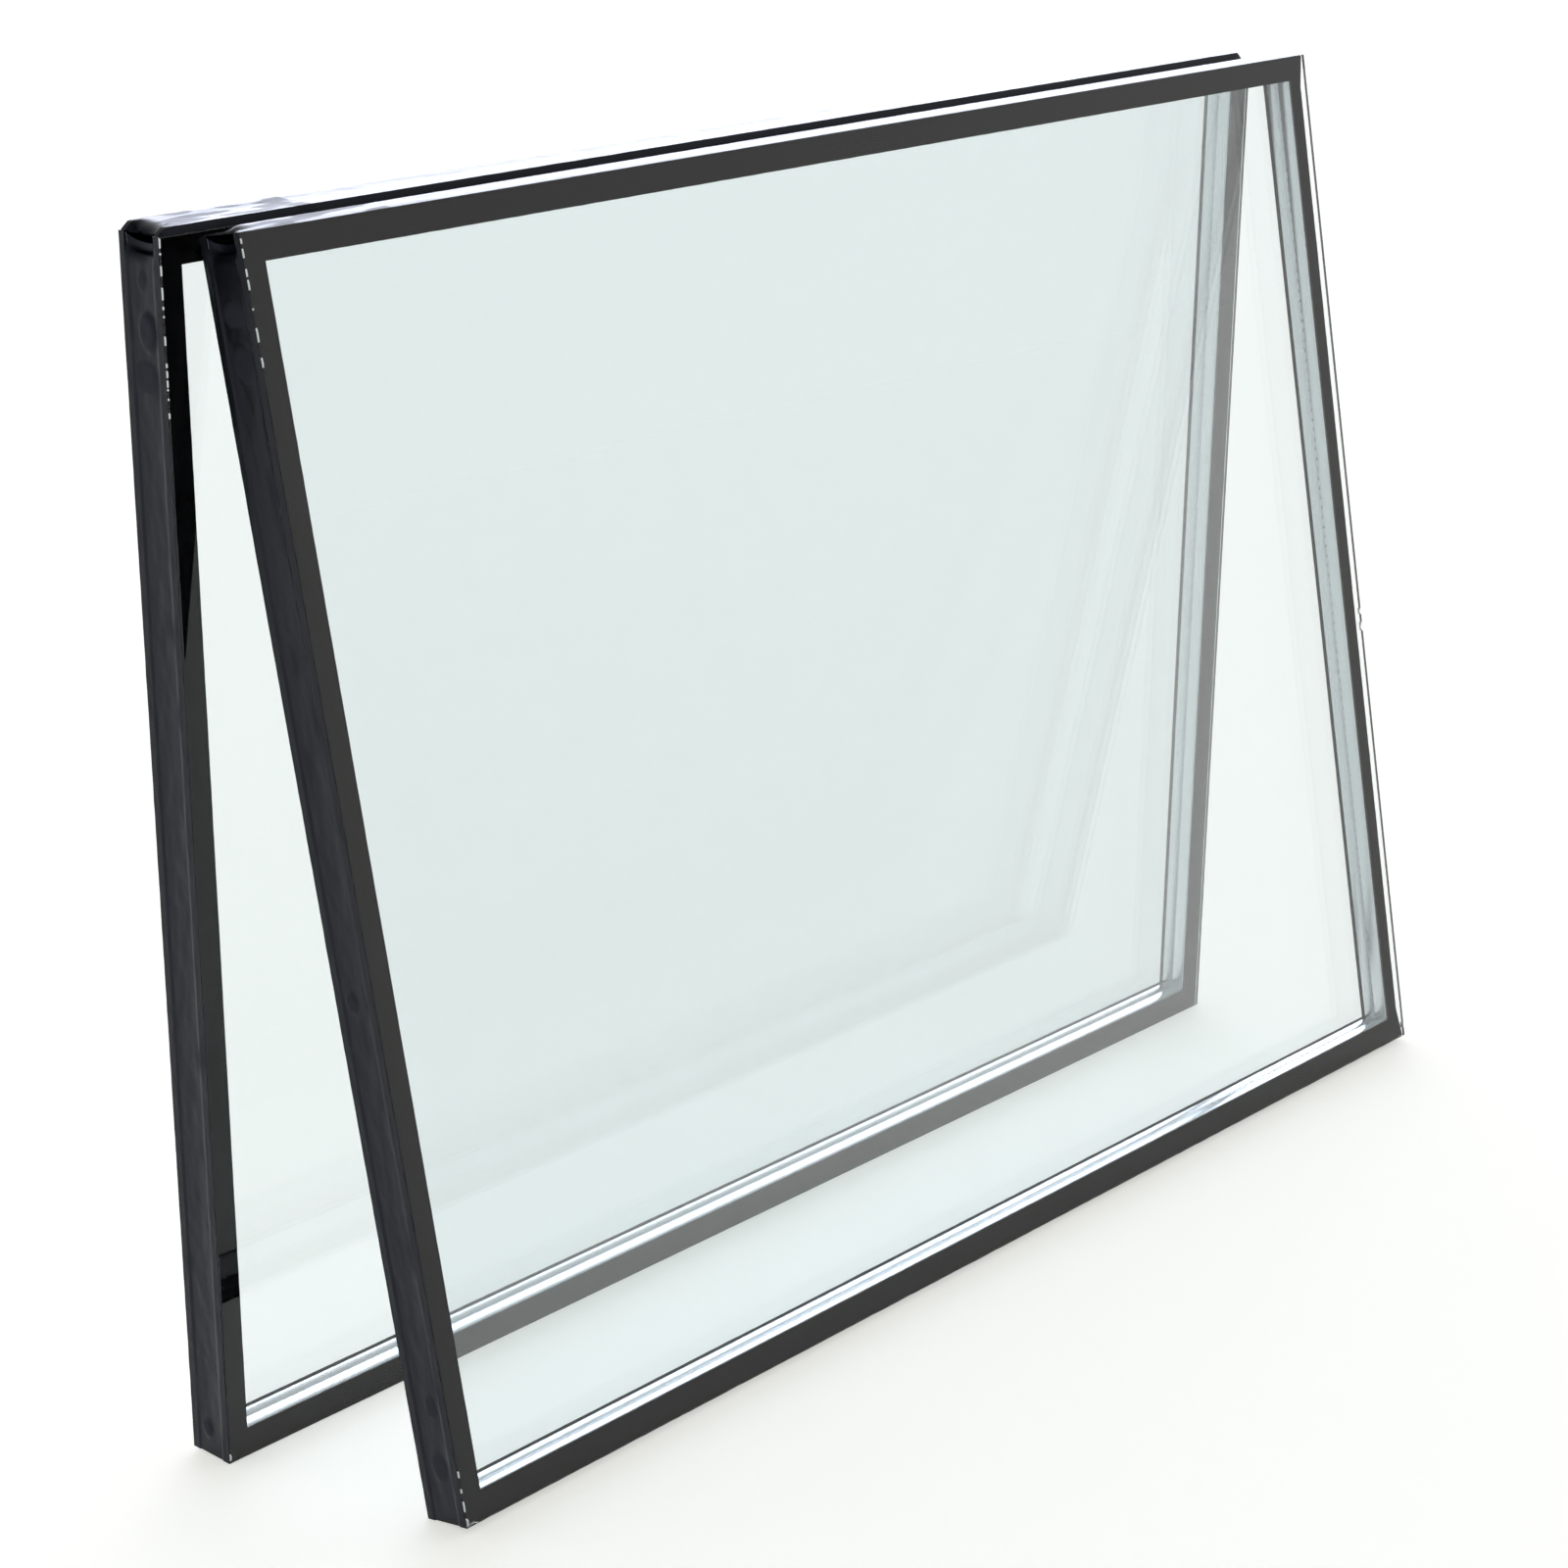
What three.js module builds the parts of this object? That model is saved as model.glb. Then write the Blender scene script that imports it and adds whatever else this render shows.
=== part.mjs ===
// A pair of equal sealed insulating glass units stood together as a narrow inverted V.
// Each unit is two panes of float glass held apart by a hollow aluminium spacer frame.
// The spacer frame has plastic corner keys and desiccant inside, a butyl bead on each
// side against the glass, and a black sealant fill round the outer edge.
// Millimetres. +Z is up, X runs along the width, and the fronts face -Y.
import * as THREE from "three";

// One unit
const UNIT_WIDTH = 680;
const UNIT_HEIGHT = 510;
const PANE_THICKNESS = 4;
const CAVITY_DEPTH = 16;
const EDGE_ARRIS = 0.5;

// Spacer bar section: flat towards the cavity, sloped shoulders towards the glass edge
const SPACER_HEIGHT = 7;
const SPACER_CROWN_WIDTH = 8.6;
const SPACER_WALL = 0.5;

// Bonding layers
const BUTYL_THICKNESS = 0.5;
const BUTYL_HEIGHT = 4;
const SEALANT_DEPTH = 4.5;
const SEALANT_RECESS = 0.4;

// Corner keys and desiccant
const KEY_LEG_LENGTH = 32;
const KEY_TOOTH_PITCH = 4;
const KEY_TOOTH_DEPTH = 0.4;
const KEY_END_LEAD = 3;
const DESICCANT_END_GAP = 2;

// Clearances
const BOND_GAP = 0.25;
const MITRE_GAP = 0.25;
const HOLLOW_GAP = 0.3;
const LEAN_GAP = 0.3;

// How the two units stand
const FRONT_LEAN = THREE.MathUtils.degToRad(7);
const BACK_LEAN = THREE.MathUtils.degToRad(4.5);
const SIDE_SHIFT = 18;

const UNIT_DEPTH = 2 * PANE_THICKNESS + CAVITY_DEPTH;
const SIGHT_LINE = SEALANT_DEPTH + SPACER_HEIGHT;
const SPACER_WIDTH = CAVITY_DEPTH - 2 * BUTYL_THICKNESS - 4 * BOND_GAP;
const SPACER_SHOULDER = SIGHT_LINE - BUTYL_HEIGHT - 2 * BOND_GAP;
const MID_DEPTH = UNIT_DEPTH / 2;

// The four sides, each turned from the bottom one about the middle of the unit
const SIDES = [
  { name: "bottom", turn: 0, edge: UNIT_WIDTH, reach: UNIT_HEIGHT / 2 },
  { name: "left", turn: Math.PI / 2, edge: UNIT_HEIGHT, reach: UNIT_WIDTH / 2 },
  { name: "top", turn: Math.PI, edge: UNIT_WIDTH, reach: UNIT_HEIGHT / 2 },
  { name: "right", turn: -Math.PI / 2, edge: UNIT_HEIGHT, reach: UNIT_WIDTH / 2 },
];

// The four corners, with the quarter turns that bring a bottom left key round to each
const CORNERS = [
  { name: "bottom_left", x: -UNIT_WIDTH / 2, z: 0, turn: 0 },
  { name: "top_left", x: -UNIT_WIDTH / 2, z: UNIT_HEIGHT, turn: Math.PI / 2 },
  { name: "top_right", x: UNIT_WIDTH / 2, z: UNIT_HEIGHT, turn: Math.PI },
  { name: "bottom_right", x: UNIT_WIDTH / 2, z: 0, turn: -Math.PI / 2 },
];

const FINISHES = {
  pane: { color: 0xdde9e9, roughness: 0.03, metalness: 0 },
  spacer: { color: 0xc9cdd0, roughness: 0.32, metalness: 0.9 },
  key: { color: 0x8f9396, roughness: 0.6, metalness: 0 },
  desiccant: { color: 0xd8cbb0, roughness: 0.9, metalness: 0 },
  butyl: { color: 0x151517, roughness: 0.55, metalness: 0 },
  sealant: { color: 0x25262b, roughness: 0.45, metalness: 0 },
};

function shapeFrom(points) {
  return new THREE.Shape(points.map(([x, y]) => new THREE.Vector2(x, y)));
}

function centredRectangle(width, height) {
  const x = width / 2;
  const y = height / 2;
  return shapeFrom([[-x, -y], [x, -y], [x, y], [-x, y]]);
}

function namedMesh(name, finish, geometry) {
  const mesh = new THREE.Mesh(geometry, new THREE.MeshStandardMaterial(FINISHES[finish]));
  mesh.name = name;
  return mesh;
}

// Stretches a section one unit thick into a bar along X whose ends are cut at 45 degrees.
// The section's own y is its distance in from the edge of the glass.
function mitredBar(section, edge, reach, endInset) {
  const geometry = new THREE.ExtrudeGeometry(section, { depth: 1, bevelEnabled: false });
  const at = geometry.attributes.position;
  for (let i = 0; i < at.count; i += 1) {
    const across = at.getX(i);
    const inward = at.getY(i);
    const end = at.getZ(i) > 0.5 ? 1 : -1;
    at.setXYZ(i, end * (edge / 2 - inward - endInset), across, inward - reach);
  }
  return geometry;
}

// Puts a bar drawn for the bottom side onto its own side of the unit
function onSide(mesh, side) {
  mesh.position.set(0, MID_DEPTH, UNIT_HEIGHT / 2);
  mesh.rotation.y = side.turn;
  return mesh;
}

// Spacer section between its crown, near the glass edge, and the flat face at the sight line.
// shrink draws the same outline that much smaller all round.
function spacerOutline(shrink) {
  const halfFlat = SPACER_WIDTH / 2 - shrink;
  const halfCrown = SPACER_CROWN_WIDTH / 2 - shrink;
  const crown = SEALANT_DEPTH + shrink;
  const flat = SIGHT_LINE - shrink;
  return [
    [-halfCrown, crown],
    [halfCrown, crown],
    [halfFlat, SPACER_SHOULDER],
    [halfFlat, flat],
    [-halfFlat, flat],
    [-halfFlat, SPACER_SHOULDER],
  ];
}

function spacerBar(side) {
  const section = shapeFrom(spacerOutline(0));
  section.holes.push(new THREE.Path(shapeFrom(spacerOutline(SPACER_WALL)).getPoints()));
  return mitredBar(section, side.edge, side.reach, MITRE_GAP);
}

// Desiccant fills the hollow of a bar between the two corner keys
function desiccantFill(side) {
  const section = shapeFrom(spacerOutline(SPACER_WALL + HOLLOW_GAP));
  const geometry = mitredBar(section, side.edge, side.reach, 0);
  const halfLength = side.edge / 2 - SIGHT_LINE - KEY_LEG_LENGTH - DESICCANT_END_GAP;
  const at = geometry.attributes.position;
  for (let i = 0; i < at.count; i += 1) {
    at.setX(i, Math.sign(at.getX(i)) * halfLength);
  }
  return geometry;
}

// Sealant fills from just inside the glass edge to the spacer's crown and down both shoulders
function sealantRun(side) {
  const halfWidth = CAVITY_DEPTH / 2 - BOND_GAP;
  const halfCrown = SPACER_CROWN_WIDTH / 2 + BOND_GAP;
  const halfShoulder = SPACER_WIDTH / 2 + BOND_GAP;
  const crown = SEALANT_DEPTH - BOND_GAP;
  const section = shapeFrom([
    [-halfWidth, SEALANT_RECESS],
    [halfWidth, SEALANT_RECESS],
    [halfWidth, SPACER_SHOULDER],
    [halfShoulder, SPACER_SHOULDER],
    [halfCrown, crown],
    [-halfCrown, crown],
    [-halfShoulder, SPACER_SHOULDER],
    [-halfWidth, SPACER_SHOULDER],
  ]);
  return mitredBar(section, side.edge, side.reach, MITRE_GAP);
}

// A run of small teeth along one edge of a key's leg, cut into the leg by the given depth
function keyLegTeeth(start, end, level, depth) {
  const points = [];
  const count = Math.floor((end - start) / KEY_TOOTH_PITCH);
  for (let i = 0; i < count; i += 1) {
    const foot = start + i * KEY_TOOTH_PITCH;
    points.push([foot, level]);
    points.push([foot + KEY_TOOTH_PITCH / 2, level + depth]);
  }
  return points;
}

// An L-shaped corner key that plugs into the hollows of the two bars meeting at a corner.
// Its legs run along +X and +Z from the corner of the glass at the origin.
function cornerKey() {
  const outer = SEALANT_DEPTH + SPACER_WALL + HOLLOW_GAP;
  const inner = SIGHT_LINE - SPACER_WALL - HOLLOW_GAP;
  const tip = SIGHT_LINE + KEY_LEG_LENGTH;
  const firstTooth = inner + KEY_END_LEAD;
  const lastTooth = tip - KEY_END_LEAD;
  const outerEdge = keyLegTeeth(firstTooth, lastTooth, outer, KEY_TOOTH_DEPTH);
  const innerEdge = keyLegTeeth(firstTooth, lastTooth, inner, -KEY_TOOTH_DEPTH);
  const upright = (points) => points.map(([along, level]) => [level, along]);
  const outline = [
    [outer, outer],
    ...outerEdge,
    [tip, outer + KEY_TOOTH_DEPTH],
    [tip, inner - KEY_TOOTH_DEPTH],
    ...innerEdge.toReversed(),
    [inner, inner],
    ...upright(innerEdge),
    [inner - KEY_TOOTH_DEPTH, tip],
    [outer + KEY_TOOTH_DEPTH, tip],
    ...upright(outerEdge.toReversed()),
  ];
  const width = SPACER_CROWN_WIDTH - 2 * (SPACER_WALL + HOLLOW_GAP);
  const geometry = new THREE.ExtrudeGeometry(shapeFrom(outline), { depth: width, bevelEnabled: false });
  geometry.translate(0, 0, -width / 2);
  geometry.rotateX(Math.PI / 2);
  return geometry;
}

// Butyl bead between one side of the spacer frame and its pane, a thin rectangular ring
function butylRing(faceDepth) {
  const inner = SIGHT_LINE - BOND_GAP;
  const outer = inner - BUTYL_HEIGHT;
  const ring = centredRectangle(UNIT_WIDTH - 2 * outer, UNIT_HEIGHT - 2 * outer);
  const opening = centredRectangle(UNIT_WIDTH - 2 * inner, UNIT_HEIGHT - 2 * inner);
  ring.holes.push(new THREE.Path(opening.getPoints()));
  const geometry = new THREE.ExtrudeGeometry(ring, { depth: BUTYL_THICKNESS, bevelEnabled: false });
  geometry.rotateX(Math.PI / 2);
  geometry.translate(0, faceDepth + BUTYL_THICKNESS, UNIT_HEIGHT / 2);
  return geometry;
}

// A pane of glass with a small ground arris round both faces
function pane(faceDepth) {
  const width = UNIT_WIDTH - 2 * EDGE_ARRIS;
  const height = UNIT_HEIGHT - 2 * EDGE_ARRIS;
  const geometry = new THREE.ExtrudeGeometry(centredRectangle(width, height), {
    depth: PANE_THICKNESS - 2 * EDGE_ARRIS,
    bevelEnabled: true,
    bevelSegments: 1,
    bevelSize: EDGE_ARRIS,
    bevelThickness: EDGE_ARRIS,
  });
  geometry.rotateX(Math.PI / 2);
  geometry.translate(0, faceDepth + PANE_THICKNESS - EDGE_ARRIS, UNIT_HEIGHT / 2);
  return geometry;
}

// A whole unit, from y = 0 at its front face, with its bottom edge at z = 0
function glazingUnit(prefix) {
  const unit = new THREE.Group();
  const rearPaneFace = PANE_THICKNESS + CAVITY_DEPTH;
  const rearButylFace = rearPaneFace - BOND_GAP - BUTYL_THICKNESS;
  unit.add(namedMesh(`${prefix}_pane_front`, "pane", pane(0)));
  unit.add(namedMesh(`${prefix}_pane_rear`, "pane", pane(rearPaneFace)));
  unit.add(namedMesh(`${prefix}_butyl_front`, "butyl", butylRing(PANE_THICKNESS + BOND_GAP)));
  unit.add(namedMesh(`${prefix}_butyl_rear`, "butyl", butylRing(rearButylFace)));
  for (const side of SIDES) {
    unit.add(onSide(namedMesh(`${prefix}_spacer_${side.name}`, "spacer", spacerBar(side)), side));
    unit.add(onSide(namedMesh(`${prefix}_desiccant_${side.name}`, "desiccant", desiccantFill(side)), side));
    unit.add(onSide(namedMesh(`${prefix}_sealant_${side.name}`, "sealant", sealantRun(side)), side));
  }
  for (const corner of CORNERS) {
    const key = namedMesh(`${prefix}_key_${corner.name}`, "key", cornerKey());
    key.position.set(corner.x, MID_DEPTH, corner.z);
    key.rotation.y = corner.turn;
    unit.add(key);
  }
  return unit;
}

// The front unit leans back on the lower edge of its rear pane
const frontStance = new THREE.Group();
const frontUnit = glazingUnit("front_unit");
frontUnit.position.y = EDGE_ARRIS - UNIT_DEPTH;
frontStance.add(frontUnit);
frontStance.rotation.x = -FRONT_LEAN;

// The back unit leans forward on the lower edge of its front pane
const backStance = new THREE.Group();
const backUnit = glazingUnit("back_unit");
backUnit.position.y = -EDGE_ARRIS;
backStance.add(backUnit);
backStance.rotation.x = BACK_LEAN;

// The feet stand apart by what brings the front unit's rear top edge onto the back unit's face
const touchUp = UNIT_HEIGHT - EDGE_ARRIS;
const touchY = EDGE_ARRIS * Math.cos(FRONT_LEAN) + touchUp * Math.sin(FRONT_LEAN);
const touchZ = touchUp * Math.cos(FRONT_LEAN) - EDGE_ARRIS * Math.sin(FRONT_LEAN);
const faceBehindFoot = (EDGE_ARRIS + LEAN_GAP) / Math.cos(BACK_LEAN) + touchZ * Math.tan(BACK_LEAN);
frontStance.position.x = SIDE_SHIFT / 2;
backStance.position.x = -SIDE_SHIFT / 2;
backStance.position.y = touchY + faceBehindFoot;

// The origin is on the floor under the middle of the pair
const pair = new THREE.Group();
pair.add(frontStance, backStance);
const extent = new THREE.Box3().setFromObject(pair, true);
const middle = extent.getCenter(new THREE.Vector3());
pair.position.set(-middle.x, -middle.y, -extent.min.z);

export default pair;
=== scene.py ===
"""Dresses a pair of sealed insulating glass units, stood together as an inverted V.

The frame gives every body and where it stands. This script adds the finish of each piece:
float glass with seamed and chipped edges, roll-formed aluminium spacer bars with their
breathing slots, butyl beads, and the black sealant trowelled round the outer edge.

Sizes in the functions are millimetres in one unit's own space: x across from the middle,
y from the front face to the rear one, z up from the bottom edge. seat() stands a mesh in
the frame in metres.
"""

import math
import random

import bmesh
import bpy
from bpy.props import FloatProperty, FloatVectorProperty, IntProperty, PointerProperty
from mathutils import Matrix, Vector, noise


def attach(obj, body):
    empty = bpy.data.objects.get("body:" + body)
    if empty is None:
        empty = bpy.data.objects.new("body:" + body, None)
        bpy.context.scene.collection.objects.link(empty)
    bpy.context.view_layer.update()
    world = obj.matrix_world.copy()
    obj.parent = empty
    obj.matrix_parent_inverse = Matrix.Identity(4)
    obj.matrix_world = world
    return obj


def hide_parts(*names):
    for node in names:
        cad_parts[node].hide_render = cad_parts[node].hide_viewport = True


bl_info = {
    "name": "Insulating Glass Pair",
    "version": (1, 0, 0),
    "blender": (4, 5, 0),
    "location": "View3D > Sidebar > Glass Pair",
    "description": "Builds the finished pieces of two leaning insulating glass units",
    "category": "Object",
}

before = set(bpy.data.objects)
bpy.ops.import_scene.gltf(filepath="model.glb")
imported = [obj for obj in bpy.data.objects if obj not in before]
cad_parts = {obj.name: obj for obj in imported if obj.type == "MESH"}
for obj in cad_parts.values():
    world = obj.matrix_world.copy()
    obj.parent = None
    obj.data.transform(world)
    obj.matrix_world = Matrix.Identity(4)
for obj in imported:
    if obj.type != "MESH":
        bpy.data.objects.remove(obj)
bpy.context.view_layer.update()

MM = 0.001

# Sizes of one unit and of its parts in section, in millimetres
WIDTH = 680.0
HEIGHT = 510.0
PANE = 4.0
DEPTH = 24.0
MIDDLE = DEPTH / 2
ARRIS = 0.5
SEALANT_DEPTH = 4.5
SIGHT_LINE = 11.5
SPACER_WALL = 0.5
SPACER_HALF = 7.0
CROWN_HALF = 4.3
SHOULDER = 7.0
CAVITY_HALF = 8.0
BOND_GAP = 0.25
BUTYL_THICKNESS = 0.5
MITRE_GAP = 0.05

# How far a bonded face is let into the glass, so that no film of air is left between them
WETTED = 0.03

SIDES = ("bottom", "left", "top", "right")

# The table's half width in metres, the sensor's width in millimetres, and how far the lens is
# shifted up as a share of the sensor
TABLE_REACH = 40.0
SENSOR_WIDTH = 36.0
LENS_SHIFT = 0.1

# Each unit with its lean, and how far behind its front face the edge that it stands on is
UNITS = {
    "front_unit": {"lean": math.radians(-7.0), "foot": DEPTH - ARRIS, "foot_pane": "pane_rear"},
    "back_unit": {"lean": math.radians(4.5), "foot": ARRIS, "foot_pane": "pane_front"},
}


# ---------------------------------------------------------------- settings


class StageSettings(bpy.types.PropertyGroup):
    """Where the camera stands and how bright the lights are"""

    table_colour: FloatVectorProperty(
        name="Table", description="Colour of the shooting table", subtype="COLOR",
        size=3, min=0, max=1, default=(0.91, 0.905, 0.875))
    sky_strength: FloatProperty(
        name="Room light", description="Brightness of the white room high up",
        default=0.60, min=0)
    horizon_strength: FloatProperty(
        name="Wall light", description="Brightness of the room's walls down at table level",
        default=1.08, min=0)
    camera_end: FloatProperty(
        name="Camera end", description="Share of the room light left high up behind the camera",
        default=0.32, min=0, max=1)
    table_glow: FloatProperty(
        name="Table glow", description="Light that comes up through the table", default=0.54, min=0)
    back_light: FloatProperty(
        name="Back light", description="Extra brightness of the low softbox behind the units",
        default=5.0, min=0)
    camera_place: FloatVectorProperty(
        name="Camera place", description="Where the camera stands", subtype="TRANSLATION",
        size=3, default=(-1.1451, -1.0263, 0.6626))
    camera_azimuth: FloatProperty(
        name="Azimuth", description="Way the camera faces, from +Y towards +X",
        subtype="ANGLE", default=math.radians(46.88))
    camera_dip: FloatProperty(
        name="Dip", description="How far the camera looks down", subtype="ANGLE",
        default=math.radians(18.68))
    camera_roll: FloatProperty(
        name="Roll", description="Turn of the camera about its own line of sight",
        subtype="ANGLE", default=math.radians(-3.07))
    lens: FloatProperty(
        name="Lens", description="Focal length on a 36 mm sensor", default=80.39, min=1)


class GlassSettings(bpy.types.PropertyGroup):
    """The panes"""

    tint: FloatVectorProperty(
        name="Tint", description="Colour that one pane gives to white light", subtype="COLOR",
        size=3, min=0, max=1, default=(0.908, 0.933, 0.936))
    edge_step: FloatProperty(
        name="Edge step", description="Spacing of the points along a cut edge",
        subtype="DISTANCE", default=12.0 * MM, min=MM)
    chip_step: FloatProperty(
        name="Chip step", description="Spacing of the points along a chip",
        subtype="DISTANCE", default=0.6 * MM, min=0.1 * MM)


class SpacerSettings(bpy.types.PropertyGroup):
    """The aluminium bars between the panes"""

    corner_radius: FloatProperty(
        name="Corner radius", description="Bend radius of the rolled section",
        subtype="DISTANCE", default=0.8 * MM, min=0)
    seam_width: FloatProperty(
        name="Seam width", description="Width of the welded seam along the flat",
        subtype="DISTANCE", default=0.8 * MM, min=0)
    seam_depth: FloatProperty(
        name="Seam depth", description="Depth of the welded seam", subtype="DISTANCE",
        default=0.15 * MM, min=0)
    slot_pitch: FloatProperty(
        name="Slot pitch", description="Distance from one breathing slot to the next",
        subtype="DISTANCE", default=5.0 * MM, min=MM)
    slot_length: FloatProperty(
        name="Slot length", description="Length of a breathing slot", subtype="DISTANCE",
        default=1.6 * MM, min=0)
    slot_width: FloatProperty(
        name="Slot width", description="Width of a breathing slot", subtype="DISTANCE",
        default=0.34 * MM, min=0)
    slot_row: FloatProperty(
        name="Row distance", description="Distance of each row of slots from the seam",
        subtype="DISTANCE", default=3.2 * MM, min=0)


class SealantSettings(bpy.types.PropertyGroup):
    """The black sealant and the butyl beads"""

    step: FloatProperty(
        name="Step", description="Spacing of the sections along a run", subtype="DISTANCE",
        default=1.25 * MM, min=0.5 * MM)
    film: FloatProperty(
        name="Film", description="Thickness of sealant dragged over the cut glass edges",
        subtype="DISTANCE", default=0.14 * MM, min=0)
    hollow: FloatProperty(
        name="Hollow", description="How far the trowelled face dips between the panes",
        subtype="DISTANCE", default=0.3 * MM, min=0)
    corner_loss: FloatProperty(
        name="Corner loss", description="Most that the sealant is pulled back at a rounded corner",
        subtype="DISTANCE", default=3.9 * MM, min=0)
    corner_round: FloatProperty(
        name="Corner round", description="Radius of the corners rounded by a thumb",
        subtype="DISTANCE", default=12.0 * MM, min=MM)
    bead_wave: FloatProperty(
        name="Bead wave", description="Waviness of the butyl's inner edge", subtype="DISTANCE",
        default=0.12 * MM, min=0)
    seed: IntProperty(name="Seed", description="Seed for the hand-made unevenness", default=11)


SETTINGS = {
    "pair_stage": StageSettings,
    "pair_glass": GlassSettings,
    "pair_spacer": SpacerSettings,
    "pair_sealant": SealantSettings,
}


# ---------------------------------------------------------------- helpers


def linear(colour):
    """Turns an sRGB hex value into linear red, green, blue and alpha."""
    channels = []
    for shift in (16, 8, 0):
        value = (colour >> shift & 255) / 255
        channels.append(value / 12.92 if value <= 0.04045 else ((value + 0.055) / 1.055) ** 2.4)
    return (*channels, 1.0)


def add_node(tree, kind, inputs=None, **settings):
    """Adds one node with its settings, and its inputs as values or as links."""
    node = tree.nodes.new(kind)
    for name, value in settings.items():
        setattr(node, name, value)
    for name, value in (inputs or {}).items():
        if isinstance(value, bpy.types.NodeSocket):
            tree.links.new(value, node.inputs[name])
        else:
            node.inputs[name].default_value = value
    return node


def new_material(name):
    """Returns an empty node material, or None if one of that name is made already."""
    if name in bpy.data.materials:
        return None
    material = bpy.data.materials.new(name)
    material.use_nodes = True
    material.node_tree.nodes.clear()
    return material


def body_nodes(unit, start):
    """Names of a unit's frame nodes that begin with the given word."""
    return [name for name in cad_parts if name.startswith(f"{unit}_{start}")]


def seat(unit):
    """The matrix from a unit's own millimetres to the frame's metres."""
    stance = UNITS[unit]
    foot_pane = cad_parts[f"{unit}_{stance['foot_pane']}"]
    points = [foot_pane.matrix_world @ vertex.co for vertex in foot_pane.data.vertices]
    lowest = min(points, key=lambda point: point.z)
    middle = (min(point.x for point in points) + max(point.x for point in points)) / 2
    return (
        Matrix.Translation((middle, lowest.y, lowest.z))
        @ Matrix.Rotation(stance["lean"], 4, "X")
        @ Matrix.Scale(MM, 4)
        @ Matrix.Translation((0, -stance["foot"], 0))
    )


def on_side(side, along, across, inward):
    """A point by its distance along a side, its depth and its distance in from the edge."""
    if side == "bottom":
        return Vector((along, across, inward))
    if side == "top":
        return Vector((along, across, HEIGHT - inward))
    if side == "left":
        return Vector((inward - WIDTH / 2, across, HEIGHT / 2 + along))
    return Vector((WIDTH / 2 - inward, across, HEIGHT / 2 + along))


def side_length(side):
    return WIDTH if side in ("bottom", "top") else HEIGHT


def wobble(x, y, z, seed):
    """Smooth unevenness between about -1 and 1."""
    return noise.noise(Vector((x, y, z + 31.7 * seed)))


def finish_piece(name, mesh_data, unit, materials, smooth=None):
    """Stands a bmesh in the frame as a finished piece that rides on its unit."""
    bmesh.ops.recalc_face_normals(mesh_data, faces=mesh_data.faces)
    mesh_data.transform(seat(unit))
    mesh = bpy.data.meshes.new(name)
    mesh_data.to_mesh(mesh)
    mesh_data.free()
    for material in materials:
        mesh.materials.append(bpy.data.materials[material])
    if smooth is not None:
        mesh.shade_smooth()
        mesh.set_sharp_from_angle(angle=smooth)
    piece = bpy.data.objects.new(name, mesh)
    bpy.context.scene.collection.objects.link(piece)
    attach(piece, unit)
    return piece


def sweep(sections, closed=False):
    """Joins equal closed sections, one after another, into a bmesh with capped ends."""
    mesh_data = bmesh.new()
    rings = [[mesh_data.verts.new(point) for point in section] for section in sections]
    count = len(rings[0])
    pairs = list(zip(rings, rings[1:]))
    if closed:
        pairs.append((rings[-1], rings[0]))
    for first, second in pairs:
        for i in range(count):
            j = (i + 1) % count
            face = mesh_data.faces.new((first[i], first[j], second[j], second[i]))
            face.material_index = 0
    if not closed:
        mesh_data.faces.new(rings[0])
        mesh_data.faces.new(rings[-1])
    return mesh_data


# ---------------------------------------------------------------- materials


def make_float_glass():
    """Clear float glass: clean fire-polished faces, faintly blue-green to look through."""
    material = new_material("clear float glass")
    if material is None:
        return
    tint = (*bpy.context.scene.pair_glass.tint, 1.0)
    tree = material.node_tree
    glass = add_node(tree, "ShaderNodeBsdfPrincipled", {
        "Base Color": tint,
        "Roughness": 0.0,
        "IOR": 1.46,
        "Transmission Weight": 1.0,
    })
    clear = add_node(tree, "ShaderNodeBsdfTransparent", {"Color": tint})
    ray = add_node(tree, "ShaderNodeLightPath")
    mix = add_node(tree, "ShaderNodeMixShader", {
        "Fac": ray.outputs["Is Shadow Ray"],
        1: glass.outputs["BSDF"],
        2: clear.outputs["BSDF"],
    })
    add_node(tree, "ShaderNodeOutputMaterial", {"Surface": mix.outputs["Shader"]})


def make_chipped_glass():
    """Broken float glass: crushed facets that scatter light, so that a chip reads white."""
    material = new_material("chipped float glass")
    if material is None:
        return
    tree = material.node_tree
    place = add_node(tree, "ShaderNodeTexCoord")
    grit = add_node(tree, "ShaderNodeTexNoise", {
        "Vector": place.outputs["Object"],
        "Scale": 1 / (0.5 * MM),
        "Detail": 3.0,
    })
    bump = add_node(tree, "ShaderNodeBump", {
        "Height": grit.outputs["Fac"],
        "Strength": 0.6,
        "Distance": 0.1 * MM,
    })
    glass = add_node(tree, "ShaderNodeBsdfPrincipled", {
        "Base Color": linear(0xEDF4F5),
        "Roughness": 0.35,
        "IOR": 1.5,
        "Transmission Weight": 0.15,
        "Normal": bump.outputs["Normal"],
    })
    add_node(tree, "ShaderNodeOutputMaterial", {"Surface": glass.outputs["BSDF"]})


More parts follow.
